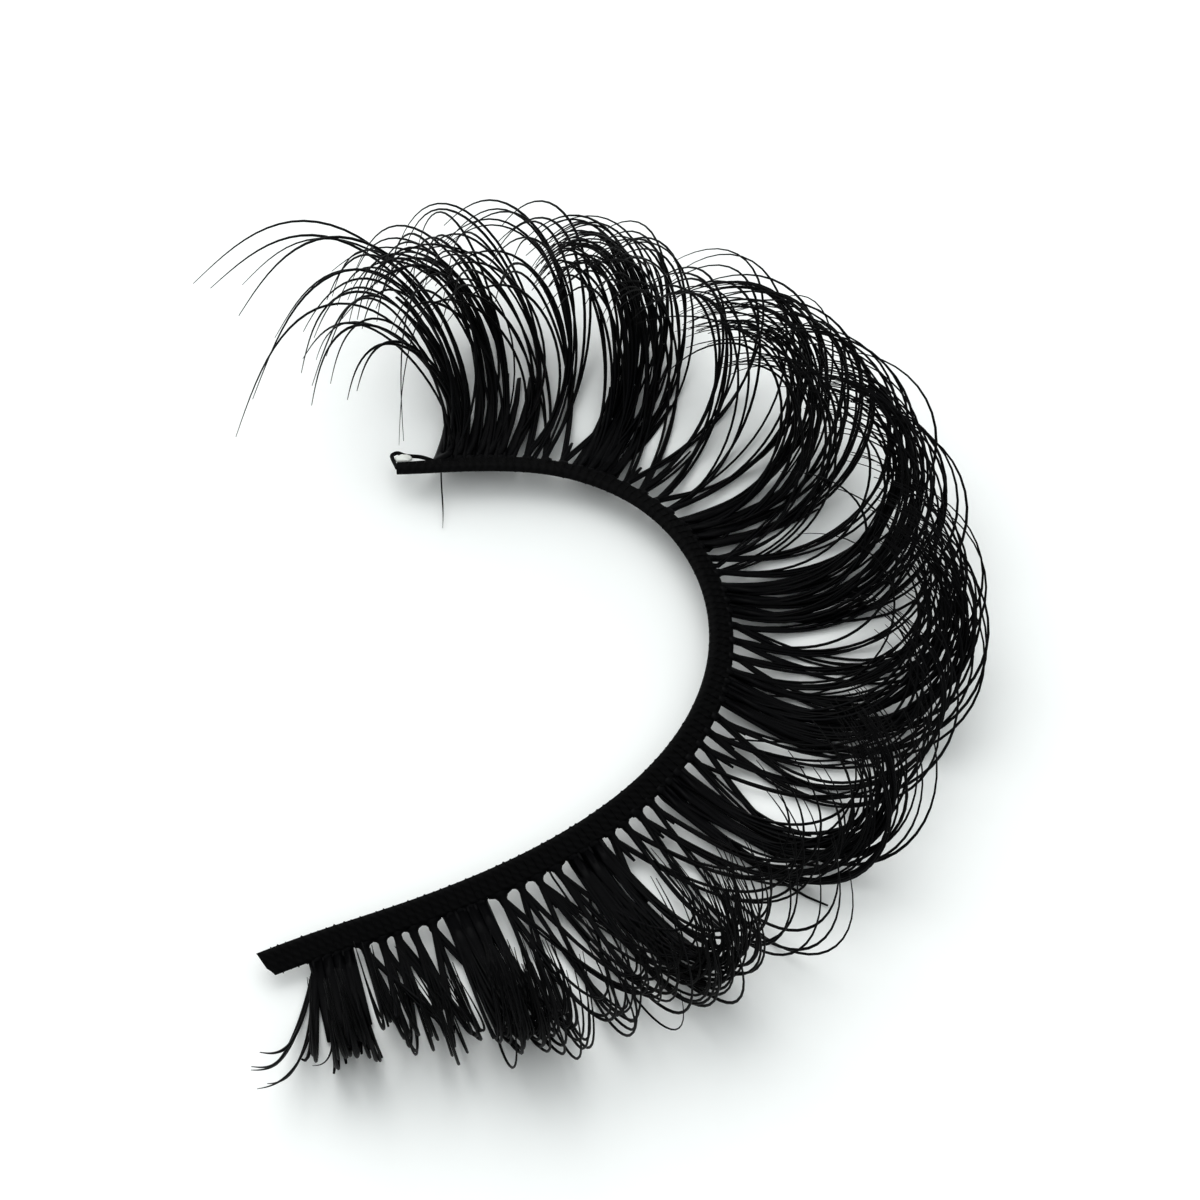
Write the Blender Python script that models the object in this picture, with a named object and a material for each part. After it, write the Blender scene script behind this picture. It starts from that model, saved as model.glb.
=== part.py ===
"""A false eyelash strip that lies on a table.

A stiff black band is bent to the curve of the lid. Tufts of curled fibres, with sparser fans between
them, leave its outer edge, run outwards near the table and curl up and back. Metres, +Z up.
"""

import math
from collections import namedtuple

import bmesh
import bpy
import numpy as np
from mathutils import Vector

MM = 0.001

# Band: a flat ribbon whose outer edge, where the lashes leave, lies lower than its inner edge
BAND_LENGTH = 34.0 * MM
BAND_WIDTH = 0.9 * MM
BAND_THICKNESS = 0.37 * MM
BAND_CHAMFER = 0.09 * MM
BAND_TILT = math.radians(30.0)
BAND_STEPS = 48
END_CUT = 0.35 * MM

# Lashes: the longest one, and what the shorter ones take from it in the table below
LASH_LENGTH = 16.0 * MM
LOCK_STEPS = 12
LOCK_SIDES = 4
TAPER_FROM = 0.40
TAPER_POWER = 1.5
TIP_SHARE = 0.25
TIP_FROM = 0.55
TIP_POWER = 1.5

# Locks: bundles of fibres, wider than thick, that fill a share of the room between their neighbours
TUFT_LOCK_PITCH = 0.30 * MM
TUFT_FILL = 0.82
FAN_LOCK_PITCH = 0.46 * MM
FAN_FILL = 0.46
LOCK_THICKNESS = 0.16 * MM
LENGTH_SPREAD = 0.05
TURN_SPREAD = math.radians(6.0)

# Root bars: the fused roots of one tuft or fan, along the outer edge of the band
BAR_WIDTH = 0.34 * MM
BAR_THICKNESS = 0.26 * MM
BAR_CHAMFER = 0.06 * MM
ROOT_GAP = 0.05 * MM
SIDE_GAP = 0.12 * MM

BandRow = namedtuple("BandRow", "share heading width height")
LashRow = namedtuple("LashRow", "share length droop turn sweep lean delay tip")
TuftRow = namedtuple("TuftRow", "start end")

# Course of the band from the inner to the outer corner: heading in degrees, anticlockwise from +X, and
# how many millimetres the lashes hold its outer edge above the table
BAND = (
    BandRow(0.00, 24, 1.00, 0.42),
    BandRow(0.10, 20, 1.00, 0.49),
    BandRow(0.20, 25, 1.00, 0.58),
    BandRow(0.30, 34, 1.00, 0.63),
    BandRow(0.40, 48, 1.00, 0.65),
    BandRow(0.50, 69, 1.00, 0.65),
    BandRow(0.60, 96, 1.00, 0.66),
    BandRow(0.70, 124, 1.00, 0.63),
    BandRow(0.80, 156, 1.00, 0.63),
    BandRow(0.88, 177, 1.00, 0.70),
    BandRow(0.94, 182, 0.85, 0.72),
    BandRow(1.00, 180, 0.60, 0.66),
)

# Lashes along the band: length as a share of the longest, and angles in degrees. Droop is how far a
# lash starts below level, turn how far it curls, sweep how far its curl tips towards the outer corner,
# lean how far its root turns that way, delay how late it curls, and tip how much further its end curls
LASHES = (
    LashRow(0.00, 0.48, 14, 150, -1, -40, 1.17, 0),
    LashRow(0.04, 0.53, 13, 150, -6, -14, 1.15, 0),
    LashRow(0.08, 0.53, 12, 149, -6, -2, 1.20, 1),
    LashRow(0.12, 0.56, 11, 147, -9, 1, 1.32, 1),
    LashRow(0.20, 0.71, 10, 145, -1, 2, 1.40, 2),
    LashRow(0.30, 0.79, 9, 144, 6, 4, 1.50, 4),
    LashRow(0.40, 0.84, 11, 142, 29, 8, 1.42, 15),
    LashRow(0.50, 0.92, 16, 132, 43, 2, 1.06, 40),
    LashRow(0.60, 0.98, 18, 138, 39, 2, 0.93, 48),
    LashRow(0.70, 1.01, 16, 146, 27, 0, 0.92, 42),
    LashRow(0.80, 0.97, 15, 157, 20, 4, 1.00, 27),
    LashRow(0.88, 1.06, 16, 161, 32, -4, 1.00, 14),
    LashRow(0.92, 1.03, 18, 167, 35, -4, 0.96, 10),
    LashRow(0.95, 0.99, 20, 170, 38, 2, 0.88, 6),
    LashRow(1.00, 1.02, 18, 170, 37, -10, 0.74, 4),
)

# The dense tufts, as shares of the band's length
TUFTS = (
    TuftRow(0.040, 0.080),
    TuftRow(0.170, 0.210),
    TuftRow(0.295, 0.330),
    TuftRow(0.400, 0.435),
    TuftRow(0.510, 0.550),
    TuftRow(0.605, 0.640),
    TuftRow(0.680, 0.720),
    TuftRow(0.790, 0.830),
    TuftRow(0.885, 0.955),
)

UP = np.array([0.0, 0.0, 1.0])


def smooth(table, column, share):
    """The value of a table's column at a share of the band, on a smooth curve through its rows."""
    x = np.array([row.share for row in table])
    y = np.array([getattr(row, column) for row in table], dtype=float)
    step = np.diff(x)
    rise = np.diff(y) / step
    inner = (rise[:-1] * step[1:] + rise[1:] * step[:-1]) / (step[1:] + step[:-1])
    slope = np.concatenate([rise[:1], inner, rise[-1:]])
    share = np.clip(share, x[0], x[-1])
    i = np.clip(np.searchsorted(x, share, side="right") - 1, 0, len(x) - 2)
    t = (share - x[i]) / step[i]
    start = (2 * t**3 - 3 * t**2 + 1) * y[i] + (t**3 - 2 * t**2 + t) * step[i] * slope[i]
    return start + (3 * t**2 - 2 * t**3) * y[i + 1] + (t**3 - t**2) * step[i] * slope[i + 1]


def curl_plane_path(length, droop, turn, delay, tip, steps):
    """A lash in its own plane: its way out and its way up, at even steps of its length."""
    share = np.linspace(0.0, 1.0, steps + 1)
    eased = share**delay
    late = np.clip((share - TIP_FROM) / (1.0 - TIP_FROM), 0.0, 1.0)
    angle = -droop + turn * (3 * eased**2 - 2 * eased**3) + tip * late**TIP_POWER
    middle = (angle[1:] + angle[:-1]) / 2
    step = length / steps
    out = np.concatenate([[0.0], np.cumsum(np.cos(middle) * step)])
    rise = np.concatenate([[0.0], np.cumsum(np.sin(middle) * step)])
    return out, rise, angle


class Course:
    """The line of the band's inner edge, which draws the curve of the lid, held up by the lashes."""

    SAMPLES = 400

    def __init__(self):
        self.shares = np.linspace(0.0, 1.0, self.SAMPLES + 1)
        headings = np.radians(smooth(BAND, "heading", self.shares))
        middle = (headings[1:] + headings[:-1]) / 2
        step = BAND_LENGTH / self.SAMPLES
        self.headings = headings
        self.x = np.concatenate([[0.0], np.cumsum(np.cos(middle) * step)])
        self.y = np.concatenate([[0.0], np.cumsum(np.sin(middle) * step)])
        self.z = smooth(BAND, "height", self.shares) * MM

    def heading(self, share):
        return float(np.interp(share, self.shares, self.headings))

    def bend(self, share):
        """How fast the roots spread, in radians for each metre of band."""
        step = 1.0 / self.SAMPLES
        return (self.heading(share + step) - self.heading(share - step)) / (2 * step * BAND_LENGTH)

    def along(self, share):
        return np.array([math.cos(self.heading(share)), math.sin(self.heading(share)), 0.0])

    def outward(self, share):
        return np.array([math.sin(self.heading(share)), -math.cos(self.heading(share)), 0.0])

    def ribbon_axes(self, share):
        """Across the ribbon towards the lashes, and out of its upper face."""
        out = self.outward(share)
        across = out * math.cos(BAND_TILT) - UP * math.sin(BAND_TILT)
        face = out * math.sin(BAND_TILT) + UP * math.cos(BAND_TILT)
        return across, face

    def edge(self, share):
        """The middle of the band's inner edge."""
        x = np.interp(share, self.shares, self.x)
        y = np.interp(share, self.shares, self.y)
        z = np.interp(share, self.shares, self.z)
        return np.array([x, y, z + BAND_WIDTH * math.sin(BAND_TILT)])

    def root(self, share):
        """Where a lash leaves the band's outer edge."""
        across, _ = self.ribbon_axes(share)
        return self.edge(share) + across * BAND_WIDTH


def swept(mesh, rings):
    """One closed tube through rings of points that have the same count, capped at both ends."""
    rows = [[mesh.verts.new(Vector(point)) for point in ring] for ring in rings]
    count = len(rows[0])
    for first, second in zip(rows, rows[1:]):
        for i in range(count):
            j = (i + 1) % count
            mesh.faces.new((first[i], first[j], second[j], second[i]))
    mesh.faces.new(rows[0][::-1])
    mesh.faces.new(rows[-1])


def finished(name, mesh, material):
    """An object of this mesh, with its faces out."""
    bmesh.ops.recalc_face_normals(mesh, faces=mesh.faces)
    data = bpy.data.meshes.new(name)
    mesh.to_mesh(data)
    mesh.free()
    data.materials.append(material)
    data.shade_smooth()
    data.set_sharp_from_angle(angle=math.radians(50.0))
    obj = bpy.data.objects.new(name, data)
    bpy.context.scene.collection.objects.link(obj)
    return obj


def principled(name, color, roughness):
    material = bpy.data.materials.new(name)
    material.use_nodes = True
    shader = material.node_tree.nodes["Principled BSDF"]
    shader.inputs["Base Color"].default_value = (*color, 1.0)
    shader.inputs["Roughness"].default_value = roughness
    shader.inputs["Metallic"].default_value = 0.0
    material.diffuse_color = (*color, 1.0)
    return material


def ribbon_ring(centre, across, face, width, thickness, chamfer):
    """A flat section with cut corners, square to the band."""
    half = width / 2
    deep = thickness / 2
    corners = (
        (-half + chamfer, -deep), (half - chamfer, -deep), (half, -deep + chamfer), (half, deep - chamfer),
        (half - chamfer, deep), (-half + chamfer, deep), (-half, deep - chamfer), (-half, -deep + chamfer),
    )
    return [centre + across * a + face * b for a, b in corners]


def make_band(course, material):
    """The ribbon, cut slantwise at the inner corner and narrower at the outer one."""
    mesh = bmesh.new()
    rings = []
    for share in np.linspace(0.0, 1.0, BAND_STEPS + 1):
        across, face = course.ribbon_axes(share)
        width = BAND_WIDTH * float(smooth(BAND, "width", share))
        centre = course.edge(share) + across * width / 2
        ring = ribbon_ring(centre, across, face, width, BAND_THICKNESS, BAND_CHAMFER)
        if share == 0.0:
            along = course.along(share)
            ring = [point + along * END_CUT * np.dot(point - centre, across) / width for point in ring]
        rings.append(ring)
    swept(mesh, rings)
    return finished("band", mesh, material)


def taper(share):
    """Full up to the belly, fine at the tip."""
    return 1.0 - (1.0 - TIP_SHARE) * (max(0.0, share - TAPER_FROM) / (1.0 - TAPER_FROM)) ** TAPER_POWER


def add_lock(mesh, course, share, width, parity):
    """One curled bundle of fibres, with its start buried in the root bar."""
    across, _ = course.ribbon_axes(share)
    start = course.root(share) + across * (ROOT_GAP + BAR_WIDTH / 2)
    length = LASH_LENGTH * smooth(LASHES, "length", share) * (1.0 - LENGTH_SPREAD * parity)
    droop = math.radians(smooth(LASHES, "droop", share))
    turn = math.radians(smooth(LASHES, "turn", share)) + TURN_SPREAD * parity
    sweep = math.radians(smooth(LASHES, "sweep", share))
    lean = math.radians(smooth(LASHES, "lean", share))
    delay = smooth(LASHES, "delay", share)
    tip = math.radians(smooth(LASHES, "tip", share))
    out = course.outward(share) * math.cos(lean) + course.along(share) * math.sin(lean)
    side = course.along(share) * math.cos(lean) - course.outward(share) * math.sin(lean)
    rising = UP * math.cos(sweep) + side * math.sin(sweep)
    flat = np.cross(out, rising)
    outs, rises, angles = curl_plane_path(length, droop, turn, delay, tip, LOCK_STEPS)
    rings = []
    for i, (o, r, angle) in enumerate(zip(outs, rises, angles)):
        centre = start + out * o + rising * r
        normal = -out * math.sin(angle) + rising * math.cos(angle)
        wide = width * (1.0 + course.bend(share) * max(0.0, o)) * taper(i / LOCK_STEPS)
        thick = LOCK_THICKNESS * taper(i / LOCK_STEPS)
        ring = []
        for k in range(LOCK_SIDES):
            turned = 2 * math.pi * k / LOCK_SIDES
            ring.append(centre + flat * math.cos(turned) * wide / 2 + normal * math.sin(turned) * thick / 2)
        rings.append(ring)
    swept(mesh, rings)


def make_bar(name, course, start, end, material):
    """The fused roots: a short bar that follows the outer edge of the band."""
    mesh = bmesh.new()
    rings = []
    steps = max(2, round((end - start) * BAND_STEPS))
    for share in np.linspace(start, end, steps + 1):
        across, face = course.ribbon_axes(share)
        centre = course.root(share) + across * (ROOT_GAP + BAR_WIDTH / 2)
        rings.append(ribbon_ring(centre, across, face, BAR_WIDTH, BAR_THICKNESS, BAR_CHAMFER))
    swept(mesh, rings)
    return finished(name, mesh, material)


def make_cluster(name, course, start, end, pitch, fill, material):
    """A root bar with its locks fused to it."""
    bar = make_bar(name, course, start, end, material)
    width = pitch * fill
    run = (end - start) * BAND_LENGTH - width
    count = max(2, round(run / pitch) + 1)
    margin = width / 2 / BAND_LENGTH
    mesh = bmesh.new()
    for i, share in enumerate(np.linspace(start + margin, end - margin, count)):
        add_lock(mesh, course, share, width, i % 2)
    locks = finished(name + "_locks", mesh, material)
    locks.hide_render = True
    locks.display_type = "WIRE"
    join = bar.modifiers.new("locks", "BOOLEAN")
    join.operation = "UNION"
    join.solver = "EXACT"
    join.object = locks
    return bar


def stand_on_table(objects):
    """Moves all objects so that the middle of the strip's footprint is the origin and the table is z = 0."""
    bpy.context.view_layer.update()
    graph = bpy.context.evaluated_depsgraph_get()
    corners = []
    for obj in objects:
        shown = obj.evaluated_get(graph)
        corners.extend(vertex.co[:] for vertex in shown.data.vertices)
    low = np.min(corners, axis=0)
    high = np.max(corners, axis=0)
    shift = Vector((-(low[0] + high[0]) / 2, -(low[1] + high[1]) / 2, -low[2]))
    for obj in bpy.data.objects:
        obj.location = shift


def main():
    for obj in list(bpy.data.objects):
        bpy.data.objects.remove(obj)
    thread = principled("band_thread", (0.012, 0.012, 0.013), 0.6)
    fibre = principled("lash_fibre", (0.010, 0.010, 0.012), 0.38)
    course = Course()
    objects = [make_band(course, thread)]
    for i, tuft in enumerate(TUFTS):
        name = f"lash_tuft_{i + 1:02d}"
        objects.append(make_cluster(name, course, tuft.start, tuft.end, TUFT_LOCK_PITCH, TUFT_FILL, fibre))
    gap = SIDE_GAP / BAND_LENGTH
    for i, (tuft, following) in enumerate(zip(TUFTS, TUFTS[1:])):
        name = f"lash_fan_{i + 1:02d}"
        start = tuft.end + gap
        end = following.start - gap
        objects.append(make_cluster(name, course, start, end, FAN_LOCK_PITCH, FAN_FILL, fibre))
    stand_on_table(objects)


main()
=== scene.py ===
"""The looks of a false eyelash strip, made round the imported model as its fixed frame.

The band is three threads side by side, bound by a fourth and stiffened with black glue. Each tuft and
fan becomes single fibres that leave fused roots, run out along the table and curl up and back.
Metres, +Z up. The band's course and the tables of the lashes are the ones that the solids follow.
"""

import math
from collections import namedtuple

import bpy
import numpy as np
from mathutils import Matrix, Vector


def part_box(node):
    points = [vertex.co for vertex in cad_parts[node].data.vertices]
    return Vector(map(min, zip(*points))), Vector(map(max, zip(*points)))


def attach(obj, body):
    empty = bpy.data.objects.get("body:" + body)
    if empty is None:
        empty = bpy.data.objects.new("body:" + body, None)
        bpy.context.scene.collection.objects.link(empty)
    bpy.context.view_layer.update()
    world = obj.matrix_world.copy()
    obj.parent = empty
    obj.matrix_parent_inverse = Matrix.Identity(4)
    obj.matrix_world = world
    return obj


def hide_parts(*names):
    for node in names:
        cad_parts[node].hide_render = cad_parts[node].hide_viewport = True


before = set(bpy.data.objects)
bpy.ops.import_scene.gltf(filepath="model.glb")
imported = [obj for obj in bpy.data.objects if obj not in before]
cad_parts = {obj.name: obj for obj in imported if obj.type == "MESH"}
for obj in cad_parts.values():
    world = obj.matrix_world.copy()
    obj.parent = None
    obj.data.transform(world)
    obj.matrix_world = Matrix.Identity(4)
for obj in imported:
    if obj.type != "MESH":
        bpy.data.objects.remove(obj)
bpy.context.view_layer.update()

MM = 0.001
UP = np.array([0.0, 0.0, 1.0])

# Band
BAND_LENGTH = 34.0 * MM
BAND_WIDTH = 0.9 * MM
BAND_THICKNESS = 0.37 * MM
BAND_CHAMFER = 0.09 * MM
BAND_TILT = math.radians(30.0)
BAND_STEPS = 48
END_CUT = 0.35 * MM

# The threads of the band, side by side, with a groove between each two and along both edges
RIBBON_SKIN = 0.03 * MM
RIBBON_CUTS = 340
RIBBON_THREADS = 3
THREAD_GROOVE = 0.05 * MM
EDGE_GROOVE = 0.07 * MM
GROOVE_REACH = 0.02 * MM

# The thread wound round them: each turn is a rounded box, with the slack and drift of work by hand
BINDING_PITCH = 0.27 * MM
BINDING_START = 0.30 * MM
BINDING_SPARE = 0.50 * MM
BINDING_WIDTH = 0.036 * MM
BINDING_STEPS = 16
BINDING_SIDES = 6
BINDING_SLACK = 0.030 * MM
BINDING_DRIFT = 0.040 * MM
BINDING_SEED = 7
TURN_ACROSS_POWER = 0.7
TURN_UP_POWER = 0.6
TURN_CORNER = 0.8
TURN_CORNER_POWER = 0.25

# The loose end of that thread, and the whitish crumb in its loop, in millimetres on the straight band
THREAD_END_WIDTH = 0.14 * MM
THREAD_END_POINTS = 40
THREAD_END_ROUNDINGS = 4
THREAD_END_SIDES = 8
FLECK_SIZE = (0.30, 0.25, 0.14)
FLECK_PLACE = (33.80, -0.84, 0.10)
FLECK_LUMPS = 0.035 * MM
FLECK_SEED = 3

# Lashes
LASH_LENGTH = 16.0 * MM
BAR_WIDTH = 0.34 * MM
ROOT_GAP = 0.05 * MM
SIDE_GAP = 0.12 * MM
TIP_FROM = 0.55
TIP_POWER = 1.5

# Single fibres: uneven in thickness, tapered at the tip, and slightly waved, by so many millimetres in one
# of full length
FIBRE_THICKNESS = 0.096 * MM
FIBRE_UNEVEN = (0.82, 1.12)
FIBRE_STEPS = 28
FIBRE_SIDES = 5
FIBRE_TAPER_FROM = 0.66
FIBRE_TIP_SHARE = 0.24
FIBRE_WAVES = (0.5, 1.3)
FIBRE_SWAY = (0.02, 0.26)
ROOT_DEPTH = 0.25 * MM
TABLE_SOFTNESS = 0.04 * MM

# Strands: how close their fibres stay, how they draw together, how unevenly long they are, and the few
# that stray from each tuft but the first
STRAND_ROOM = 0.10 * MM
STRAND_EASE = (0.2, 1.1)
STRAND_PLACE = (0.3, 0.7)
SHORTER_POWER = 2
DRAW_POWER = 1.2
FAN_UNEVEN = 0.20
LOOSE_UNEVEN = 0.03
STRAYS = 2
STRAY_FINENESS = 0.9
STRAY_UNEVEN = 0.30

# What chance may do: the inner corner's lashes turn and sweep more alike than the rest
MOST_MOVE = 2.0
CALM_SHARES = (0.15, 0.45)
CALM_MOVES = (0.45, 1.0)
DELAY_LIMITS = (0.55, 2.2)
TUFT_SEED = 100
FAN_SEED = 200

# Fused roots, which start in the band, round in to a neck and grow finer along the lash
LINE_STEPS = 60
ROOT_START = 0.1 * ROOT_DEPTH
ARCH_PLACES = (0.0, 0.25, 0.6, 1.0)
PIER_SHAFT_STEPS = 4
PIER_SIDES = 8
PIER_THICKNESS = 0.24 * MM
PIER_NARROWING = 0.62
PIER_THINNING = 0.68
CORE_POINTS = 10
CORE_THICKNESS = 0.192 * MM
CORE_NARROWING = 0.70

# Roots of the tufts, as shares of their pitch or of how far the tuft is fused
TUFT_ROOT_PITCH = 0.36 * MM
TUFT_FOOT = 1.5
TUFT_NECK = 1.4
TUFT_PIER_REACH = (0.75, 1.15)
TUFT_CORE_REACH = (1.0, 1.9)

# The flare of glue at the outer corner's last root
FLARE_SHARE = 0.958
FLARE_FOOT = 1.15 * MM
FLARE_NECK = 0.34 * MM
FLARE_REACH = 2.4 * MM

# Roots of the fans, with their reaches in millimetres
FAN_SHIFT = 0.18
FAN_FOOT = 1.05
FAN_NECK = 0.26 * MM
FAN_PIER_REACH = (0.9, 1.3)
FAN_CORE_WIDTH = 0.22 * MM
FAN_CORE_REACH = (1.6, 3.4)
FAN_SPLAY = (0.7, 1.2)

# Which of a lash's two finishes a tube takes
FIBRE = 0
GLUED = 1

# Colours
FIBRE_DARK = (0.0008, 0.0008, 0.0010, 1.0)
FIBRE_LIGHT = (0.0024, 0.0026, 0.0036, 1.0)
FIBRE_TIP = (0.006, 0.006, 0.0065, 1.0)
ROOT_DARK = (0.0012, 0.0012, 0.0015, 1.0)
ROOT_LIGHT = (0.0035, 0.0035, 0.0045, 1.0)
THREAD_DARK = (0.0010, 0.0010, 0.0012, 1.0)
THREAD_LIGHT = (0.0050, 0.0050, 0.0055, 1.0)
# The whitish crumb in the thread's loop, mottled between these two
FLECK_DARK = (0.62, 0.64, 0.60, 1.0)
FLECK_LIGHT = (0.90, 0.91, 0.88, 1.0)
TABLE_DARK = (0.90, 0.915, 0.91, 1.0)
TABLE_LIGHT = (0.94, 0.95, 0.945, 1.0)
SURROUND_COLOR = (0.96, 0.985, 0.985, 1.0)
WINDOW_COLOR = (1.0, 1.0, 0.99)

# Studio
TABLE_SIZE = 3.0
SURROUND_STRENGTH = 0.95
WINDOW_PLACE = (-0.10, 0.20, 0.24)
WINDOW_SIZE = 0.42
WINDOW_POWER = 0.62
STUDIO_GAMMA = 0.85

# Camera: its target on the table, from the band's inner end in millimetres, and its lens in millimetres
VIEW_TARGET = (10.553, 13.947)
VIEW_DISTANCE = 130.0 * MM
VIEW_ELEVATION = math.radians(55.0)
SENSOR_WIDTH = 36.0
LENS = 117.0
NEAREST_SEEN = 0.01

BandRow = namedtuple("BandRow", "share heading width height")
EndPoint = namedtuple("EndPoint", "along across up")
LashRow = namedtuple("LashRow", "share length droop turn sweep lean delay tip")
Spread = namedtuple("Spread", "length droop turn sweep lean delay")
TuftRow = namedtuple("TuftRow", "start end strands fibres clump fused uneven")
FanRow = namedtuple("FanRow", "piers strands fibres splay")
LooseRow = namedtuple("LooseRow", "fibres fineness share length droop turn sweep lean delay tip")

# Course of the band from the inner to the outer corner: heading in degrees, anticlockwise from +X, how
# wide it is as a share of its full width, and how many millimetres the lashes hold its outer edge above
# the table
BAND = (
    BandRow(0.00, 24, 1.00, 0.42),
    BandRow(0.10, 20, 1.00, 0.49),
    BandRow(0.20, 25, 1.00, 0.58),
    BandRow(0.30, 34, 1.00, 0.63),
    BandRow(0.40, 48, 1.00, 0.65),
    BandRow(0.50, 69, 1.00, 0.65),
    BandRow(0.60, 96, 1.00, 0.66),
    BandRow(0.70, 124, 1.00, 0.63),
    BandRow(0.80, 156, 1.00, 0.63),
    BandRow(0.88, 177, 1.00, 0.70),
    BandRow(0.94, 182, 0.85, 0.72),
    BandRow(1.00, 180, 0.60, 0.66),
)

# The thread's loose end on the straight band, in millimetres from the band's inner end and inner edge
THREAD_END = (
    EndPoint(32.60, -0.60, 0.02),
    EndPoint(33.20, -1.00, 0.10),
    EndPoint(33.75, -1.05, 0.12),
    EndPoint(34.05, -1.30, 0.15),
    EndPoint(34.24, -1.12, 0.12),
    EndPoint(34.14, -0.75, 0.06),
    EndPoint(34.00, -0.30, 0.00),
)

# Lashes along the band: length as a share of LASH_LENGTH, angles in degrees, with how late they curl in the
# delay column and how far their tips curl on in the last one
LASHES = (
    LashRow(0.00, 0.48, 14, 150, -1, -40, 1.17, 0),
    LashRow(0.04, 0.53, 13, 150, -6, -14, 1.15, 0),
    LashRow(0.08, 0.53, 12, 149, -6, -2, 1.20, 1),
    LashRow(0.12, 0.56, 11, 147, -9, 1, 1.32, 1),
    LashRow(0.20, 0.71, 10, 145, -1, 2, 1.40, 2),
    LashRow(0.30, 0.79, 9, 144, 6, 4, 1.50, 4),
    LashRow(0.40, 0.84, 11, 142, 29, 8, 1.42, 15),
    LashRow(0.50, 0.92, 16, 132, 43, 2, 1.06, 40),
    LashRow(0.60, 0.98, 18, 138, 39, 2, 0.93, 48),
    LashRow(0.70, 1.01, 16, 146, 27, 0, 0.92, 42),
    LashRow(0.80, 0.97, 15, 157, 20, 4, 1.00, 27),
    LashRow(0.88, 1.06, 16, 161, 32, -4, 1.00, 14),
    LashRow(0.92, 1.03, 18, 167, 35, -4, 0.96, 10),
    LashRow(0.95, 0.99, 20, 170, 38, 2, 0.88, 6),
    LashRow(1.00, 1.02, 18, 170, 37, -10, 0.74, 4),
)

# How far strands differ from the table, fibres from their strand, and strays from both
STRAND_SPREAD = Spread(0.05, 1.5, 6, 5, 5, 0.12)
FIBRE_SPREAD = Spread(0.10, 0.8, 4, 2.5, 1.6, 0.06)
STRAY_SPREAD = Spread(0.08, 3.0, 10, 14, 15, 0.20)

# The dense tufts: where each starts and ends, its strands, the fibres of each, how far they draw together,
# how many millimetres their fused roots reach, and by what share the shortest fibre is shorter
TUFTS = (
    TuftRow(0.040, 0.080, 8, 6, 0.45, 2.6, 0.26),
    TuftRow(0.170, 0.210, 10, 6, 0.30, 3.6, 0.26),
    TuftRow(0.295, 0.330, 9, 5, 0.35, 3.2, 0.26),
    TuftRow(0.400, 0.435, 8, 5, 0.45, 3.6, 0.26),
    TuftRow(0.510, 0.550, 9, 5, 0.45, 4.6, 0.26),
    TuftRow(0.605, 0.640, 8, 5, 0.45, 4.6, 0.26),
    TuftRow(0.680, 0.720, 8, 5, 0.35, 3.6, 0.26),
    TuftRow(0.790, 0.830, 9, 5, 0.30, 3.8, 0.26),
    TuftRow(0.885, 0.955, 9, 4, 0.00, 4.4, 0.34),
)

# The sparse fans between them: roots, strands from each root, fibres of each, and the angle to which they
# part
FANS = (
    FanRow(5, 3, 3, 12),
    FanRow(4, 3, 3, 13),
    FanRow(4, 2, 3, 14),
    FanRow(4, 2, 3, 14),
    FanRow(3, 2, 4, 12),
    FanRow(2, 3, 3, 12),
    FanRow(4, 2, 3, 11),
    FanRow(3, 2, 4, 12),
)

# Strands that stand out one by one: at the inner corner, along the strip, and at the outer corner
LOOSE = (
    LooseRow(3, 1.0, 0.041, 0.458, 25, 86, -5, -34, 0.60, 0),
    LooseRow(2, 0.9, 0.042, 0.551, 22, 82, -12, -26, 0.60, 0),
    LooseRow(1, 0.6, 0.043, 0.110, 14, 10, 0, -30, 1.00, 0),
    LooseRow(1, 0.8, 0.046, 0.289, 11, 80, -38, -15, 2.20, 0),
    LooseRow(1, 0.7, 0.277, 0.639, 8, 121, 0, 2, 2.20, 0),
    LooseRow(1, 0.8, 0.480, 0.985, 12, 130, 47, 34, 1.30, 36),
    LooseRow(2, 0.9, 0.660, 0.925, 8, 147, 21, 30, 1.50, 40),
    LooseRow(2, 0.9, 0.680, 0.900, 10, 132, 20, 28, 1.36, 40),
    LooseRow(1, 0.9, 0.731, 0.981, 12, 153, 31, 7, 1.18, 30),
    LooseRow(1, 0.8, 0.790, 0.860, 16, 141, 6, 11, 0.79, 20),
    LooseRow(3, 1.0, 0.866, 1.050, 12, 166, 27, -10, 0.98, 8),
    LooseRow(1, 0.7, 0.906, 1.165, 8, 222, 26, -20, 0.81, 0),
    LooseRow(1, 0.7, 0.909, 1.019, 6, 214, 27, -8, 0.81, 0),
    LooseRow(1, 1.0, 0.921, 0.927, 17, 165, 56, 0, 1.39, 0),
    LooseRow(1, 1.0, 0.935, 1.051, 0, 158, 52, -10, 0.93, 0),
    LooseRow(1, 1.0, 0.935, 1.153, 7, 167, 38, -10, 0.74, 0),
    LooseRow(1, 1.0, 0.940, 0.790, 16, 163, 36, 9, 0.64, 0),
    LooseRow(2, 1.0, 0.942, 1.233, 15, 166, 40, -4, 0.68, 0),
    LooseRow(1, 1.0, 0.944, 1.084, 0, 160, 25, -1, 0.60, 0),
    LooseRow(1, 1.0, 0.945, 0.994, 0, 166, 25, -20, 0.74, 0),
    LooseRow(1, 1.0, 0.951, 1.110, 0, 179, 33, -16, 0.66, 0),
    LooseRow(1, 1.0, 0.954, 1.064, 0, 176, 40, -12, 0.60, 0),
    LooseRow(1, 1.0, 0.9545, 1.106, 34, 190, 31, -6, 0.58, 0),
    LooseRow(1, 0.6, 0.9549, 0.190, 12, 0, 0, 180, 1.00, 0),
)


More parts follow.
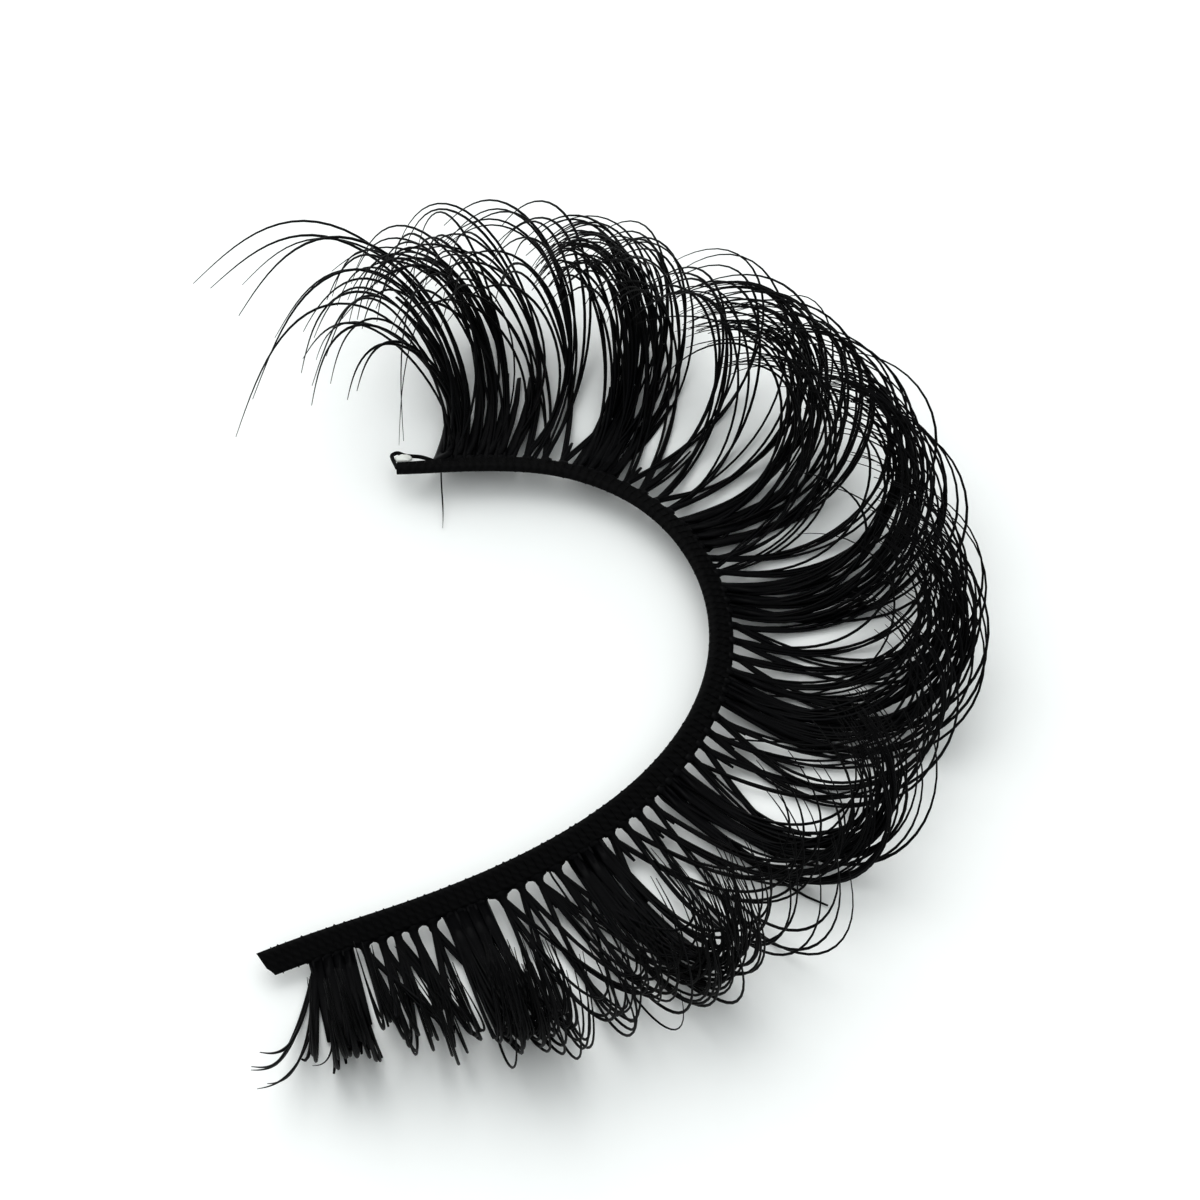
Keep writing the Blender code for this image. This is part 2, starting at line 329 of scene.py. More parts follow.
def smooth(table, column, share):
    """The value of a table's column at a share of the band, on a smooth curve through its rows."""
    x = np.array([row.share for row in table])
    y = np.array([getattr(row, column) for row in table], dtype=float)
    step = np.diff(x)
    rise = np.diff(y) / step
    inner = (rise[:-1] * step[1:] + rise[1:] * step[:-1]) / (step[1:] + step[:-1])
    slope = np.concatenate([rise[:1], inner, rise[-1:]])
    share = np.clip(share, x[0], x[-1])
    i = np.clip(np.searchsorted(x, share, side="right") - 1, 0, len(x) - 2)
    t = (share - x[i]) / step[i]
    start = (2 * t**3 - 3 * t**2 + 1) * y[i] + (t**3 - 2 * t**2 + t) * step[i] * slope[i]
    return start + (3 * t**2 - 2 * t**3) * y[i + 1] + (t**3 - t**2) * step[i] * slope[i + 1]


def curl_plane_path(length, droop, turn, delay, tip, steps):
    """A lash in its own plane: its way out and its way up, at even steps of its length."""
    share = np.linspace(0.0, 1.0, steps + 1)
    eased = share**delay
    late = np.clip((share - TIP_FROM) / (1.0 - TIP_FROM), 0.0, 1.0)
    angle = -droop + turn * (3 * eased**2 - 2 * eased**3) + tip * late**TIP_POWER
    middle = (angle[1:] + angle[:-1]) / 2
    step = length / steps
    out = np.concatenate([[0.0], np.cumsum(np.cos(middle) * step)])
    rise = np.concatenate([[0.0], np.cumsum(np.sin(middle) * step)])
    return out, rise


class Course:
    """The line of the band's inner edge, which draws the curve of the lid, held up by the lashes."""

    SAMPLES = 400

    def __init__(self):
        self.shares = np.linspace(0.0, 1.0, self.SAMPLES + 1)
        self.headings = np.radians(smooth(BAND, "heading", self.shares))
        middle = (self.headings[1:] + self.headings[:-1]) / 2
        step = BAND_LENGTH / self.SAMPLES
        self.x = np.concatenate([[0.0], np.cumsum(np.cos(middle) * step)])
        self.y = np.concatenate([[0.0], np.cumsum(np.sin(middle) * step)])
        self.z = smooth(BAND, "height", self.shares) * MM
        self.origin = np.zeros(3)
        self.origin = self.shift_onto_the_solid()

    def heading(self, share):
        """The way the band runs, in radians anticlockwise from +X."""
        return float(np.interp(share, self.shares, self.headings))

    def along(self, share):
        """Level, towards the outer corner."""
        return np.array([math.cos(self.heading(share)), math.sin(self.heading(share)), 0.0])

    def outward(self, share):
        """Level, from the lid towards the tips."""
        return np.array([math.sin(self.heading(share)), -math.cos(self.heading(share)), 0.0])

    def ribbon_axes(self, share):
        """Across the ribbon towards the lashes, and out of its upper face."""
        out = self.outward(share)
        across = out * math.cos(BAND_TILT) - UP * math.sin(BAND_TILT)
        face = out * math.sin(BAND_TILT) + UP * math.cos(BAND_TILT)
        return across, face

    def edge(self, share):
        """The middle of the band's inner edge."""
        x = np.interp(share, self.shares, self.x)
        y = np.interp(share, self.shares, self.y)
        z = np.interp(share, self.shares, self.z)
        return self.origin + np.array([x, y, z + BAND_WIDTH * math.sin(BAND_TILT)])

    def root(self, share):
        """Where a lash leaves the band's outer edge."""
        across, _ = self.ribbon_axes(share)
        return self.edge(share) + across * BAND_WIDTH

    def shift_onto_the_solid(self):
        """From this course, which starts at the origin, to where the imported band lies."""
        corners = []
        for share in np.linspace(0.0, 1.0, BAND_STEPS + 1):
            across, face = self.ribbon_axes(share)
            width = BAND_WIDTH * float(smooth(BAND, "width", share))
            centre = self.edge(share) + across * width / 2
            half = width / 2
            deep = BAND_THICKNESS / 2
            for a, b in (
                (half - BAND_CHAMFER, deep), (half, deep - BAND_CHAMFER),
                (half, BAND_CHAMFER - deep), (half - BAND_CHAMFER, -deep),
            ):
                for point in (centre + across * a + face * b, centre - across * a - face * b):
                    cut = END_CUT * np.dot(point - centre, across) / width
                    corners.append(point + self.along(share) * cut * (share == 0.0))
        low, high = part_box("band")
        solid = (np.array(low) + np.array(high)) / 2
        return solid - (np.min(corners, axis=0) + np.max(corners, axis=0)) / 2


class Tubes:
    """Many tubes, kept as arrays until they are joined in one mesh."""

    def __init__(self):
        self.points = []
        self.faces = []
        self.along = []
        self.tones = []
        self.finish_of_faces = []
        self.count = 0

    def add(self, path, flat, wide, thick, sides, tone=0.5, finish=0):
        """A closed tube along a path, as wide along flat and as thick across it as the arrays say."""
        tangent = np.gradient(path, axis=0)
        tangent /= np.linalg.norm(tangent, axis=1)[:, None]
        across = flat - tangent * (tangent @ flat)[:, None]
        across /= np.linalg.norm(across, axis=1)[:, None]
        normal = np.cross(tangent, across)
        angles = 2 * math.pi * np.arange(sides) / sides
        sideways = np.cos(angles)[None, :, None] * across[:, None, :] * wide[:, None, None] / 2
        outwards = np.sin(angles)[None, :, None] * normal[:, None, :] * thick[:, None, None] / 2
        rings = path[:, None, :] + sideways + outwards
        steps = len(path) - 1
        index = self.count + np.arange((steps + 1) * sides).reshape(steps + 1, sides)
        turned = np.roll(index, -1, axis=1)
        walls = np.stack([index[:-1], turned[:-1], turned[1:], index[1:]], axis=-1)
        self.points.append(rings.reshape(-1, 3))
        self.faces.extend(walls.reshape(-1, 4).tolist())
        self.faces.append(index[0, ::-1].tolist())
        self.faces.append(index[-1].tolist())
        self.along.append(np.repeat(np.linspace(0.0, 1.0, steps + 1), sides))
        self.tones.append(np.full((steps + 1) * sides, tone))
        self.finish_of_faces.extend([finish] * (steps * sides + 2))
        self.count += (steps + 1) * sides

    def joined(self, name, materials):
        """One object with all the tubes in its mesh, at the origin."""
        mesh = bpy.data.meshes.new(name)
        mesh.from_pydata(np.concatenate(self.points), [], self.faces)
        for label, values in (("along", self.along), ("tone", self.tones)):
            attribute = mesh.attributes.new(label, "FLOAT", "POINT")
            attribute.data.foreach_set("value", np.concatenate(values).astype(np.float32))
        for material in materials:
            mesh.materials.append(material)
        mesh.polygons.foreach_set("material_index", self.finish_of_faces)
        mesh.shade_smooth()
        obj = bpy.data.objects.new(name, mesh)
        bpy.context.scene.collection.objects.link(obj)
        return obj


def select_none():
    """Leaves nothing selected."""
    bpy.ops.object.select_all(action="DESELECT")


def select_only(obj):
    """Leaves one object selected and active."""
    select_none()
    obj.select_set(True)
    bpy.context.view_layer.objects.active = obj


def straight_ribbon():
    """The threads side by side along +X, with their inner edge on the X axis and their face up."""
    width = BAND_WIDTH - 2 * RIBBON_SKIN
    thickness = BAND_THICKNESS - 2 * RIBBON_SKIN
    bpy.ops.mesh.primitive_cube_add(size=1.0, location=(0.0, 0.0, 0.0))
    ribbon = bpy.context.object
    ribbon.name = "band_threads"
    ribbon.scale = (BAND_LENGTH + END_CUT, width, thickness)
    ribbon.location = ((BAND_LENGTH - END_CUT) / 2, -BAND_WIDTH / 2, 0.0)
    bpy.ops.object.transform_apply(location=True, rotation=False, scale=True)
    split_edges(ribbon, 0, RIBBON_CUTS)
    split_edges(ribbon, 1, 2 * RIBBON_THREADS - 1)
    for thread in range(1, RIBBON_THREADS):
        seam = -BAND_WIDTH / 2 + width * (thread / RIBBON_THREADS - 0.5)
        press_groove(ribbon, lambda y: abs(y - seam) < GROOVE_REACH, THREAD_GROOVE)
    press_groove(ribbon, lambda y: abs(abs(y + BAND_WIDTH / 2) - width / 2) < GROOVE_REACH, EDGE_GROOVE)
    return ribbon


def press_groove(ribbon, near, depth):
    """Presses both faces of the ribbon in, where their points lie near a line along it."""
    for side in (-1, 1):
        pick_vertices(ribbon, lambda place: near(place.y) and place.z * side > 0)
        bpy.ops.transform.translate(value=(0.0, 0.0, -side * depth))
        bpy.ops.object.mode_set(mode="OBJECT")


def split_edges(obj, axis, cuts):
    """Cuts all edges that run along one axis."""
    bpy.ops.object.mode_set(mode="EDIT")
    bpy.ops.mesh.select_mode(type="EDGE")
    bpy.ops.mesh.select_all(action="DESELECT")
    bpy.ops.object.mode_set(mode="OBJECT")
    mesh = obj.data
    for edge in mesh.edges:
        way = mesh.vertices[edge.vertices[1]].co - mesh.vertices[edge.vertices[0]].co
        edge.select = abs(way[axis]) > 0.9 * way.length
    bpy.ops.object.mode_set(mode="EDIT")
    bpy.ops.mesh.subdivide(number_cuts=cuts)
    bpy.ops.object.mode_set(mode="OBJECT")


def pick_vertices(obj, wanted):
    """Enters edit mode with the wanted vertices selected."""
    bpy.ops.object.mode_set(mode="EDIT")
    bpy.ops.mesh.select_mode(type="VERT")
    bpy.ops.mesh.select_all(action="DESELECT")
    bpy.ops.object.mode_set(mode="OBJECT")
    for vertex in obj.data.vertices:
        vertex.select = wanted(vertex.co)
    bpy.ops.object.mode_set(mode="EDIT")


def cut_inner_end(ribbon):
    """The slanted cut at the inner corner."""
    bpy.ops.object.mode_set(mode="EDIT")
    bpy.ops.mesh.select_all(action="SELECT")
    bpy.ops.mesh.bisect(
        plane_co=(0.0, -BAND_WIDTH / 2, 0.0),
        plane_no=(BAND_WIDTH, END_CUT, 0.0),
        use_fill=True,
        clear_inner=True,
        threshold=1e-7,
    )
    bpy.ops.object.mode_set(mode="OBJECT")


def narrow_outer_end(obj):
    """Follows the width column of the band's table, from the inner edge."""
    for vertex in obj.data.vertices:
        vertex.co.y *= float(smooth(BAND, "width", vertex.co.x / BAND_LENGTH))


def binding_thread(random, finishes):
    """The thread wound round the straight ribbon, a little uneven as by hand."""
    turns = round((BAND_LENGTH - BINDING_SPARE) / BINDING_PITCH)
    steps = turns * BINDING_STEPS
    step = np.arange(steps + 1)
    angle = 2 * math.pi * step / BINDING_STEPS
    knots = np.linspace(0.0, steps, turns * 2)
    slack = np.interp(step, knots, random.uniform(-0.3, 1.0, len(knots))) * BINDING_SLACK
    drift = np.interp(step, knots, random.uniform(-1.0, 1.0, len(knots))) * BINDING_DRIFT
    half = BAND_WIDTH / 2 - RIBBON_SKIN + slack
    deep = BAND_THICKNESS / 2 - RIBBON_SKIN
    corner = np.hypot(np.cos(angle), np.sin(angle) * TURN_CORNER) ** TURN_CORNER_POWER
    x = BINDING_START + BINDING_PITCH * step / BINDING_STEPS + drift
    y = -BAND_WIDTH / 2 + half * boxy(np.cos(angle), TURN_ACROSS_POWER) * corner
    z = deep * boxy(np.sin(angle), TURN_UP_POWER)
    tubes = Tubes()
    width = np.full(steps + 1, BINDING_WIDTH)
    tubes.add(np.stack([x, y, z], axis=1), np.array([1.0, 0.0, 0.0]), width, width, BINDING_SIDES)
    return tubes.joined("band_binding", finishes)


def boxy(wave, power):
    """A sine or cosine with flatter crests, which makes a box of a circle."""
    return np.sign(wave) * np.abs(wave) ** power


def thread_end(finishes):
    """The end of the binding thread, which stands off the outer corner in a small loop."""
    corners = np.array(THREAD_END) * MM
    share = np.linspace(0.0, len(corners) - 1.0, THREAD_END_POINTS)
    path = np.stack([np.interp(share, range(len(corners)), corners[:, i]) for i in range(3)], axis=1)
    for _ in range(THREAD_END_ROUNDINGS):
        path[1:-1] = (path[:-2] + 2 * path[1:-1] + path[2:]) / 4
    tubes = Tubes()
    width = np.full(len(path), THREAD_END_WIDTH)
    tubes.add(path, UP, width, width, THREAD_END_SIDES)
    return tubes.joined("band_thread_end", finishes)


def whitish_fleck():
    """A small whitish crumb in the thread's loop."""
    bpy.ops.mesh.primitive_ico_sphere_add(subdivisions=3, radius=1.0, location=(0.0, 0.0, 0.0))
    fleck = bpy.context.object
    fleck.name = "whitish_fleck"
    fleck.scale = Vector(FLECK_SIZE) * MM
    fleck.location = Vector(FLECK_PLACE) * MM
    bpy.ops.object.transform_apply(location=True, rotation=False, scale=True)
    bpy.ops.object.mode_set(mode="EDIT")
    bpy.ops.mesh.select_all(action="SELECT")
    bpy.ops.transform.vertex_random(offset=FLECK_LUMPS, uniform=0.4, seed=FLECK_SEED)
    bpy.ops.object.mode_set(mode="OBJECT")
    rounding = fleck.modifiers.new("rounding", "SUBSURF")
    rounding.levels = 1
    bpy.ops.object.modifier_apply(modifier=rounding.name)
    fleck.data.shade_smooth()
    return fleck


def remember_straight(obj):
    """Keeps where each point was before the band was bent, for the thread's pattern."""
    attribute = obj.data.attributes.new("straight", "FLOAT_VECTOR", "POINT")
    points = np.empty(len(obj.data.vertices) * 3, np.float32)
    obj.data.vertices.foreach_get("co", points)
    attribute.data.foreach_set("vector", points)


def course_line(course):
    """The band's inner edge as a curve that does not roll."""
    data = bpy.data.curves.new("course", "CURVE")
    data.dimensions = "3D"
    data.twist_mode = "Z_UP"
    data.resolution_u = 1
    spline = data.splines.new("POLY")
    shares = np.linspace(0.0, 1.0, RIBBON_CUTS + 1)
    spline.points.add(len(shares) - 1)
    for point, share in zip(spline.points, shares):
        point.co = (*course.edge(share), 1.0)
    line = bpy.data.objects.new("course", data)
    bpy.context.scene.collection.objects.link(line)
    return line


def bent_to_course(obj, line):
    """Tilts a straight piece and bends it along the course."""
    obj.rotation_euler = (BAND_TILT, 0.0, 0.0)
    select_only(obj)
    bpy.ops.object.transform_apply(location=False, rotation=True, scale=False)
    bend = obj.modifiers.new("bend", "CURVE")
    bend.object = line
    bend.deform_axis = "POS_X"
    bpy.ops.object.modifier_apply(modifier=bend.name)


def make_band(course, thread, glue):
    """The ribbon, its binding with the loose end, and the whitish crumb, bent to the lid's curve."""
    line = course_line(course)
    select_none()
    ribbon = straight_ribbon()
    cut_inner_end(ribbon)
    ribbon.data.materials.append(thread)
    binding = binding_thread(np.random.default_rng(BINDING_SEED), [thread])
    end = thread_end([thread])
    select_none()
    fleck = whitish_fleck()
    fleck.data.materials.append(glue)
    for piece in (ribbon, binding):
        narrow_outer_end(piece)
    for piece in (ribbon, binding, end, fleck):
        remember_straight(piece)
        bent_to_course(piece, line)
        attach(piece, "root")
    ribbon.data.shade_smooth()
    bpy.data.objects.remove(line)
    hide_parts("band")


def lash_path(course, lash, steps):
    """The line of one fibre from inside the band to its tip, and the direction across its curl."""
    across, _ = course.ribbon_axes(lash.share)
    start = course.root(lash.share) + across * (ROOT_GAP + BAR_WIDTH / 2)
    lean = math.radians(lash.lean)
    sweep = math.radians(lash.sweep)
    outward = course.outward(lash.share)
    along = course.along(lash.share)
    out = outward * math.cos(lean) + along * math.sin(lean)
    side = along * math.cos(lean) - outward * math.sin(lean)
    rising = UP * math.cos(sweep) + side * math.sin(sweep)
    length = lash.length * LASH_LENGTH
    droop, turn, tip = (math.radians(angle) for angle in (lash.droop, lash.turn, lash.tip))
    way_out, way_up = curl_plane_path(length, droop, turn, lash.delay, tip, steps)
    path = start + way_out[:, None] * out + way_up[:, None] * rising
    inside = start - across * (ROOT_GAP + BAR_WIDTH / 2 + ROOT_DEPTH)
    return np.concatenate([[inside], path]), np.cross(out, rising)


def rest_on_table(path, radius):
    """Fibres that would run into the table lie along it instead."""
    above = path[:, 2] - radius
    path[:, 2] = radius + (above + np.sqrt(above**2 + TABLE_SOFTNESS**2)) / 2
    return path


def wander(path, flat, random, reach):
    """A slight wave to one side, which grows towards the tip."""
    share = np.linspace(0.0, 1.0, len(path))
    waves = random.uniform(*FIBRE_WAVES)
    phase = random.uniform(0.0, 2 * math.pi)
    offset = reach * share * np.sin(2 * math.pi * waves * share + phase)
    return path + offset[:, None] * flat


def fibre_width(steps, thickness):
    """Full for most of its length, fine at the tip."""
    share = np.linspace(0.0, 1.0, steps)
    late = np.clip((share - FIBRE_TAPER_FROM) / (1.0 - FIBRE_TAPER_FROM), 0.0, 1.0)
    return thickness * (1.0 - (1.0 - FIBRE_TIP_SHARE) * late)


def lash_at(share):
    """The table's lash at a share of the band."""
    return LashRow(share, *(float(smooth(LASHES, column, share)) for column in LashRow._fields[1:]))


def varied(lash, spread, random, ease=1.0):
    """The same lash, a little shorter, with each of its other values moved either way."""
    moves = np.clip(random.normal(0.0, 1.0, 6), -MOST_MOVE, MOST_MOVE) * ease
    moves[2:4] *= float(np.interp(lash.share, CALM_SHARES, CALM_MOVES))
    return lash._replace(
        length=lash.length * (1.0 - spread.length * abs(moves[0])),
        droop=lash.droop + spread.droop * moves[1],
        turn=lash.turn + spread.turn * moves[2],
        sweep=lash.sweep + spread.sweep * moves[3],
        lean=lash.lean + spread.lean * moves[4],
        delay=float(np.clip(lash.delay + spread.delay * moves[5], *DELAY_LIMITS)),
    )


def add_fibre(tubes, course, lash, fineness, random, guide=None, clump=0.0):
    """One fibre, drawn towards a guide line as it nears its tip where it has one."""
    path, flat = lash_path(course, lash, FIBRE_STEPS)
    if guide is not None:
        share = np.linspace(0.0, 1.0, len(path))[:, None]
        path = path + (guide - path) * clump * share**DRAW_POWER
    path = wander(path, flat, random, random.uniform(*FIBRE_SWAY) * lash.length * MM)
    thickness = FIBRE_THICKNESS * fineness * random.uniform(*FIBRE_UNEVEN)
    path = rest_on_table(path, thickness / 2)
    width = fibre_width(len(path), thickness)
    tubes.add(path, flat, width, width, FIBRE_SIDES, random.uniform(0.0, 1.0), FIBRE)


def add_strand(tubes, course, strand, fibres, fineness, uneven, random, guide=None, clump=0.0):
    """Fibres that leave one root together and part a little, or hardly, on the way to their tips."""
    ease = random.uniform(*STRAND_EASE)
    for _ in range(fibres):
        own = strand.share + random.uniform(-1.0, 1.0) * STRAND_ROOM / BAND_LENGTH
        lash = varied(strand._replace(share=own), FIBRE_SPREAD, random, ease)
        shorter = uneven * random.uniform(0.0, 1.0) ** SHORTER_POWER
        lash = lash._replace(length=lash.length * (1.0 - shorter))
        add_fibre(tubes, course, lash, fineness, random, guide, clump)


def stretch(course, lash, places):
    """The points at some distances along a lash, from its start inside the band."""
    path, flat = lash_path(course, lash, LINE_STEPS)
    distance = np.concatenate([[0.0], np.cumsum(np.linalg.norm(np.diff(path, axis=0), axis=1))])
    return np.stack([np.interp(places, distance, path[:, i]) for i in range(3)], axis=1), flat


def add_pier(tubes, course, lash, foot, neck, reach, random):
    """The fused root of some fibres: its foot fills its room at the band and rounds in to a neck."""
    arch = (foot - neck) / 2
    arch_places = ROOT_DEPTH + arch * np.array(ARCH_PLACES)
    shaft_places = np.linspace(ROOT_DEPTH + arch, ROOT_DEPTH + reach, PIER_SHAFT_STEPS + 1)[1:]
    places = np.concatenate([[ROOT_START], arch_places, shaft_places])
    line, flat = stretch(course, lash, places)
    past = np.clip(places - ROOT_DEPTH, 0.0, arch)
    wide = foot - 2 * np.sqrt(arch**2 - (arch - past) ** 2)
    late = np.clip((places - ROOT_DEPTH - arch) / (reach - arch), 0.0, 1.0)
    wide = wide * (1.0 - PIER_NARROWING * late)
    thick = PIER_THICKNESS * (1.0 - PIER_THINNING * late)
    tone = random.uniform(0.0, 1.0)
    tubes.add(rest_on_table(line, thick / 2), flat, wide, thick, PIER_SIDES, tone, GLUED)


def add_core(tubes, course, lash, width, reach, random):
    """Glue that has run along a strand from its root, and holds it together for a few millimetres."""
    places = np.linspace(ROOT_START, ROOT_DEPTH + reach, CORE_POINTS)
    line, flat = stretch(course, lash, places)
    taper = 1.0 - CORE_NARROWING * np.linspace(0.0, 1.0, CORE_POINTS)
    wide = width * taper
    thick = CORE_THICKNESS * taper
    tone = random.uniform(0.0, 1.0)
    tubes.add(rest_on_table(line, thick / 2), flat, wide, thick, PIER_SIDES, tone, GLUED)


def add_loose(tubes, course, row, random):
    """A strand of the table of those that stand out."""
    add_strand(tubes, course, LashRow(*row[2:]), row.fibres, row.fineness, LOOSE_UNEVEN, random)


def make_tuft(name, course, tuft, finishes, random):
    """A dense tuft: fused roots side by side and many fibres that draw together."""
    tubes = Tubes()
    room = tuft.end - tuft.start
    pitch = room / tuft.strands
    middle = varied(lash_at((tuft.start + tuft.end) / 2), FIBRE_SPREAD, random)
    guide = lash_path(course, middle, FIBRE_STEPS)[0]
    roots = round(room * BAND_LENGTH / TUFT_ROOT_PITCH)
    for i in range(roots):
        lash = lash_at(tuft.start + room * (i + 0.5) / roots)
        width = room * BAND_LENGTH / roots
        reach = tuft.fused * random.uniform(*TUFT_PIER_REACH) * MM
        add_pier(tubes, course, lash, width * TUFT_FOOT, width * TUFT_NECK, reach, random)
    for i in range(tuft.strands):
        share = tuft.start + pitch * (i + random.uniform(*STRAND_PLACE))
        strand = varied(lash_at(share), STRAND_SPREAD, random)
        reach = tuft.fused * random.uniform(*TUFT_CORE_REACH) * MM
        add_core(tubes, course, strand, pitch * BAND_LENGTH * TUFT_FOOT, reach, random)
        add_strand(tubes, course, strand, tuft.fibres, 1.0, tuft.uneven, random, guide, tuft.clump)
    if tuft is TUFTS[-1]:
        add_pier(tubes, course, lash_at(FLARE_SHARE), FLARE_FOOT, FLARE_NECK, FLARE_REACH, random)
    for _ in range(0 if tuft is TUFTS[0] else STRAYS):
        share = random.uniform(tuft.start + pitch / 2, tuft.end - pitch / 2)
        stray = varied(lash_at(share), STRAY_SPREAD, random)
        add_strand(tubes, course, stray, 1, STRAY_FINENESS, STRAY_UNEVEN, random)
    for row in LOOSE:
        if tuft.start <= row.share <= tuft.end:
            add_loose(tubes, course, row, random)
    return tubes.joined(name, finishes)


def make_fan(name, course, start, end, fan, finishes, random):
    """A sparse fan: fibres leave each root to both sides and cross their neighbours."""
    tubes = Tubes()
    bounds = np.arange(fan.piers + 1.0)
    bounds[1:-1] += random.uniform(-FAN_SHIFT, FAN_SHIFT, fan.piers - 1)
    bounds = start + (end - start) * bounds / fan.piers
    for low, high in zip(bounds, bounds[1:]):
        share = (low + high) / 2
        foot = (high - low) * BAND_LENGTH * FAN_FOOT
        add_pier(tubes, course, lash_at(share), foot, FAN_NECK, random.uniform(*FAN_PIER_REACH) * MM, random)
        for direction in np.linspace(-1.0, 1.0, fan.strands):
            strand = varied(lash_at(share), STRAND_SPREAD, random)
            strand = strand._replace(lean=strand.lean + direction * fan.splay * random.uniform(*FAN_SPLAY))
            add_core(tubes, course, strand, FAN_CORE_WIDTH, random.uniform(*FAN_CORE_REACH) * MM, random)
            add_strand(tubes, course, strand, fan.fibres, 1.0, FAN_UNEVEN, random)
    for row in LOOSE:
        if start < row.share < end:
            add_loose(tubes, course, row, random)
    return tubes.joined(name, finishes)


def settle(fibres, node):
    """Puts fibres in the place of their solid, and hides the solid."""
    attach(fibres, "root")
    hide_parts(node)


def make_lashes(course, finishes):
    """Every tuft, and every fan in the room that two tufts leave between them."""
    gap = SIDE_GAP / BAND_LENGTH
    for i, tuft in enumerate(TUFTS):
        random = np.random.default_rng(TUFT_SEED + i)
        fibres = make_tuft(f"tuft_fibres_{i + 1:02d}", course, tuft, finishes, random)
        settle(fibres, f"lash_tuft_{i + 1:02d}")
    for i, (tuft, following, fan) in enumerate(zip(TUFTS, TUFTS[1:], FANS)):
        random = np.random.default_rng(FAN_SEED + i)
        start = tuft.end + gap
        end = following.start - gap
        fibres = make_fan(f"fan_fibres_{i + 1:02d}", course, start, end, fan, finishes, random)
        settle(fibres, f"lash_fan_{i + 1:02d}")


class Value:
    """A number or a socket in a material's maths. An expression on values adds its Math nodes."""

    def __init__(self, finish, socket):
        self.finish = finish
        self.socket = socket

    def maths(self, operation, *values):
        node = self.finish.node("ShaderNodeMath", {"operation": operation}, dict(enumerate(values)))
        return Value(self.finish, node.outputs[0])

    def __add__(self, other):
        return self.maths("ADD", self, other)

    def __radd__(self, other):
        return self.maths("ADD", other, self)

    def __mul__(self, other):
        return self.maths("MULTIPLY", self, other)

    def __rmul__(self, other):
        return self.maths("MULTIPLY", other, self)

    def __pow__(self, other):
        return self.maths("POWER", self, other)


class Finish:
    """A procedural material, built round its Principled shader."""

    def __init__(self, name, **constants):
        self.material = bpy.data.materials.new(name)
        self.material.use_nodes = True
        self.tree = self.material.node_tree
        self.shader = self.tree.nodes["Principled BSDF"]
        for label, value in constants.items():
            self.shader.inputs[label.replace("_", " ")].default_value = value

    def node(self, kind, settings=None, inputs=None):
        """A node of one type, with its settings first and then the values or links of its sockets."""
        node = self.tree.nodes.new(kind)
        for label, value in (settings or {}).items():
            setattr(node, label, value)
        for label, value in (inputs or {}).items():
            self.feed(node.inputs[label], value)
        return node

    def feed(self, socket, value):
        """Links a value to a socket, or sets a number or colour on it."""
        if isinstance(value, Value):
            self.tree.links.new(value.socket, socket)
        else:
            socket.default_value = value

    def attribute(self, label, output="Fac"):
        """What the piece's points hold under a name."""
        node = self.node("ShaderNodeAttribute", {"attribute_name": label})
        return Value(self, node.outputs[output])

    def place(self):
        """Where a point of the surface lies, in metres."""
        return Value(self, self.node("ShaderNodeTexCoord").outputs["Object"])

    def noise(self, scale, detail=3.0):
        """Even mottling, finer as the scale grows."""
        inputs = {"Vector": self.place(), "Scale": scale, "Detail": detail}
        return Value(self, self.node("ShaderNodeTexNoise", None, inputs).outputs["Fac"])

    def blend(self, share, first, second):
        """One colour turning into another."""
        node = self.node("ShaderNodeMix", {"data_type": "RGBA"}, {0: share, 6: first, 7: second})
        return Value(self, node.outputs[2])

    def bump(self, height, distance, strength):
        """A fine relief, as deep as distance says."""
        inputs = {"Height": height, "Distance": distance, "Strength": strength}
        return Value(self, self.node("ShaderNodeBump", None, inputs).outputs["Normal"])

    def paint(self, color, roughness, normal=None):
        """Feeds the shader with what changes over the surface, and returns the material."""
        self.feed(self.shader.inputs["Base Color"], color)
        self.feed(self.shader.inputs["Roughness"], roughness)
        if normal is not None:
            self.feed(self.shader.inputs["Normal"], normal)
        return self.material


def fibre_finish():
    """Black polyester fibre, a little glossy, duller and paler towards its tip."""
    finish = Finish("black_fibre", Specular_IOR_Level=0.09)
    along = finish.attribute("along")
    tone = finish.attribute("tone")
    body = finish.blend(tone, FIBRE_DARK, FIBRE_LIGHT)
    color = finish.blend(along**3 * 0.6, body, FIBRE_TIP)
    grain = finish.noise(scale=5200.0)
    roughness = 0.30 + tone * 0.08 + along * 0.10 + grain * 0.10
    return finish.paint(color, roughness, finish.bump(grain, distance=0.006 * MM, strength=0.5))


def root_finish():
    """Fused roots under hardened black glue: smoother and lumpy."""
    finish = Finish("glued_roots", Specular_IOR_Level=0.07)
    lumps = finish.noise(scale=2600.0)
    color = finish.blend(lumps, ROOT_DARK, ROOT_LIGHT)
    roughness = 0.30 + lumps * 0.25
    return finish.paint(color, roughness, finish.bump(lumps, distance=0.030 * MM, strength=0.6))


def thread_finish():
    """Black cotton thread soaked with glue: fine twisted plies that follow the band's bend."""
    finish = Finish("black_thread", Specular_IOR_Level=0.06)
    wave = finish.node(
        "ShaderNodeTexWave",
        {"wave_type": "BANDS", "bands_direction": "DIAGONAL"},
        {
            "Vector": finish.attribute("straight", "Vector"),
            "Scale": 2300.0,
            "Distortion": 3.0,
            "Detail": 2.0,
            "Detail Scale": 1.4,
        },
    )
    plies = Value(finish, wave.outputs["Fac"])
    fuzz = finish.noise(scale=7000.0)
    color = finish.blend(plies * 0.6 + fuzz * 0.4, THREAD_DARK, THREAD_LIGHT)
    roughness = 0.45 + fuzz * 0.30
    relief = plies * 0.7 + fuzz * 0.3
    return finish.paint(color, roughness, finish.bump(relief, distance=0.020 * MM, strength=0.7))


